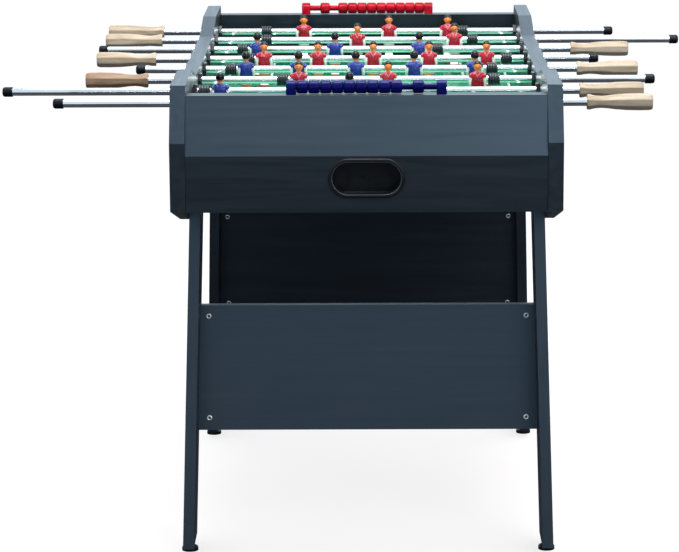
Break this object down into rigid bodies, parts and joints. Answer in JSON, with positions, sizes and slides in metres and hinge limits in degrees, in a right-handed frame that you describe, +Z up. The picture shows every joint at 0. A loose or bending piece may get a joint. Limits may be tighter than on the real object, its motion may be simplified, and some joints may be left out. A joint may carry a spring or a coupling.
{
  "type": "foosball table",
  "caption": "Free-standing foosball table: boarded cabinet on splayed legs, sliding and turning player rods with wooden handles, score counters and levelling feet.",
  "frame": {"origin": "on the floor, under the middle of the cabinet", "axes": "+Z up, +Y along the table towards the red goal, +X to the right of a player standing at the blue end"},
  "size_m": [1.1665, 1.222, 0.8062],
  "materials": {
    "board": "dark slate laminate, satin",
    "field": "printed green film with white lines",
    "chrome": "polished",
    "handle_wood": "natural light wood",
    "black_rubber": "matt",
    "black_plastic": "gloss",
    "blue_plastic": "gloss",
    "red_plastic": "gloss",
    "steel": "zinc plated"
  },
  "bodies": {
    "table": {"side_panel_left": "board", "side_panel_right": "board", "playfield": "field", "end_boards": "board", "end_walls": "board", "ball_return_cups": "black_plastic", "rod_bearings": "black_plastic", "legs": "board", "leg_panels": "board", "assembly_hardware": "steel", "blue_score_rail": "blue_plastic", "red_score_rail": "red_plastic"},
    "blue_goalie_slider": {"blue_goalie_bumpers": "black_rubber"},
    "blue_goalie_turner": {"blue_goalie_rod": "chrome", "blue_goalie_men": "blue_plastic", "blue_goalie_handle": "handle_wood", "blue_goalie_end_cap": "black_rubber"},
    "blue_defence_slider": {"blue_defence_bumpers": "black_rubber"},
    "blue_defence_turner": {"blue_defence_rod": "chrome", "blue_defence_men": "blue_plastic", "blue_defence_handle": "handle_wood", "blue_defence_end_cap": "black_rubber"},
    "red_attack_slider": {"red_attack_bumpers": "black_rubber"},
    "red_attack_turner": {"red_attack_rod": "chrome", "red_attack_men": "red_plastic", "red_attack_handle": "handle_wood", "red_attack_end_cap": "black_rubber"},
    "blue_midfield_slider": {"blue_midfield_bumpers": "black_rubber"},
    "blue_midfield_turner": {"blue_midfield_rod": "chrome", "blue_midfield_men": "blue_plastic", "blue_midfield_handle": "handle_wood", "blue_midfield_end_cap": "black_rubber"},
    "red_midfield_slider": {"red_midfield_bumpers": "black_rubber"},
    "red_midfield_turner": {"red_midfield_rod": "chrome", "red_midfield_men": "red_plastic", "red_midfield_handle": "handle_wood", "red_midfield_end_cap": "black_rubber"},
    "blue_attack_slider": {"blue_attack_bumpers": "black_rubber"},
    "blue_attack_turner": {"blue_attack_rod": "chrome", "blue_attack_men": "blue_plastic", "blue_attack_handle": "handle_wood", "blue_attack_end_cap": "black_rubber"},
    "red_defence_slider": {"red_defence_bumpers": "black_rubber"},
    "red_defence_turner": {"red_defence_rod": "chrome", "red_defence_men": "red_plastic", "red_defence_handle": "handle_wood", "red_defence_end_cap": "black_rubber"},
    "red_goalie_slider": {"red_goalie_bumpers": "black_rubber"},
    "red_goalie_turner": {"red_goalie_rod": "chrome", "red_goalie_men": "red_plastic", "red_goalie_handle": "handle_wood", "red_goalie_end_cap": "black_rubber"},
    "blue_score_stack": {"blue_score_beads": "blue_plastic"},
    "blue_score_last": {"blue_last_score_bead": "blue_plastic"},
    "red_score_stack": {"red_score_beads": "red_plastic"},
    "red_score_last": {"red_last_score_bead": "red_plastic"},
    "front_left_leveller": {"front_left_foot": "black_plastic"},
    "front_right_leveller": {"front_right_foot": "black_plastic"},
    "back_left_leveller": {"back_left_foot": "black_plastic"},
    "back_right_leveller": {"back_right_foot": "black_plastic"}
  },
  "joints": [
    {"name": "blue_goalie_slide", "type": "slide", "parent": "table", "child": "blue_goalie_slider", "axis": [1, 0, 0], "range_m": [-0.0392, 0.1537]},
    {"name": "blue_goalie_spin", "type": "hinge", "parent": "blue_goalie_slider", "child": "blue_goalie_turner", "pos_m": [0, -0.48, 0.76], "axis": [1, 0, 0], "continuous": true},
    {"name": "blue_defence_slide", "type": "slide", "parent": "table", "child": "blue_defence_slider", "axis": [1, 0, 0], "range_m": [-0.001, 0.2657]},
    {"name": "blue_defence_spin", "type": "hinge", "parent": "blue_defence_slider", "child": "blue_defence_turner", "pos_m": [0, -0.34286, 0.76], "axis": [1, 0, 0], "continuous": true},
    {"name": "red_attack_slide", "type": "slide", "parent": "table", "child": "red_attack_slider", "axis": [1, 0, 0], "range_m": [-0.1247, 0.0527]},
    {"name": "red_attack_spin", "type": "hinge", "parent": "red_attack_slider", "child": "red_attack_turner", "pos_m": [0, -0.20571, 0.76], "axis": [1, 0, 0], "continuous": true},
    {"name": "blue_midfield_slide", "type": "slide", "parent": "table", "child": "blue_midfield_slider", "axis": [1, 0, 0], "range_m": [-0.0317, 0.0507]},
    {"name": "blue_midfield_spin", "type": "hinge", "parent": "blue_midfield_slider", "child": "blue_midfield_turner", "pos_m": [0, -0.06857, 0.76], "axis": [1, 0, 0], "continuous": true},
    {"name": "red_midfield_slide", "type": "slide", "parent": "table", "child": "red_midfield_slider", "axis": [1, 0, 0], "range_m": [-0.0577, 0.0197]},
    {"name": "red_midfield_spin", "type": "hinge", "parent": "red_midfield_slider", "child": "red_midfield_turner", "pos_m": [0, 0.06857, 0.76], "axis": [1, 0, 0], "continuous": true},
    {"name": "blue_attack_slide", "type": "slide", "parent": "table", "child": "blue_attack_slider", "axis": [1, 0, 0], "range_m": [-0.0407, 0.1377]},
    {"name": "blue_attack_spin", "type": "hinge", "parent": "blue_attack_slider", "child": "blue_attack_turner", "pos_m": [0, 0.20571, 0.76], "axis": [1, 0, 0], "continuous": true},
    {"name": "red_defence_slide", "type": "slide", "parent": "table", "child": "red_defence_slider", "axis": [1, 0, 0], "range_m": [-0.0787, 0.0692]},
    {"name": "red_defence_spin", "type": "hinge", "parent": "red_defence_slider", "child": "red_defence_turner", "pos_m": [0, 0.34286, 0.76], "axis": [1, 0, 0], "continuous": true},
    {"name": "red_goalie_slide", "type": "slide", "parent": "table", "child": "red_goalie_slider", "axis": [1, 0, 0], "range_m": [-0.0747, 0.0752]},
    {"name": "red_goalie_spin", "type": "hinge", "parent": "red_goalie_slider", "child": "red_goalie_turner", "pos_m": [0, 0.48, 0.76], "axis": [1, 0, 0], "continuous": true},
    {"name": "blue_score_beads_slide", "type": "slide", "parent": "table", "child": "blue_score_stack", "axis": [1, 0, 0], "range_m": [0, 0.0157]},
    {"name": "blue_last_score_bead_slide", "type": "slide", "parent": "table", "child": "blue_score_last", "axis": [1, 0, 0], "range_m": [-0.0157, 0.019]},
    {"name": "red_score_beads_slide", "type": "slide", "parent": "table", "child": "red_score_stack", "axis": [-1, 0, 0], "range_m": [0, 0.0157]},
    {"name": "red_last_score_bead_slide", "type": "slide", "parent": "table", "child": "red_score_last", "axis": [-1, 0, 0], "range_m": [-0.0157, 0.019]},
    {"name": "front_left_foot_height", "type": "slide", "parent": "table", "child": "front_left_leveller", "axis": [0, 0, -1], "range_m": [0, 0.01]},
    {"name": "front_right_foot_height", "type": "slide", "parent": "table", "child": "front_right_leveller", "axis": [0, 0, -1], "range_m": [0, 0.01]},
    {"name": "back_left_foot_height", "type": "slide", "parent": "table", "child": "back_left_leveller", "axis": [0, 0, -1], "range_m": [0, 0.01]},
    {"name": "back_right_foot_height", "type": "slide", "parent": "table", "child": "back_right_leveller", "axis": [0, 0, -1], "range_m": [0, 0.01]}
  ]
}
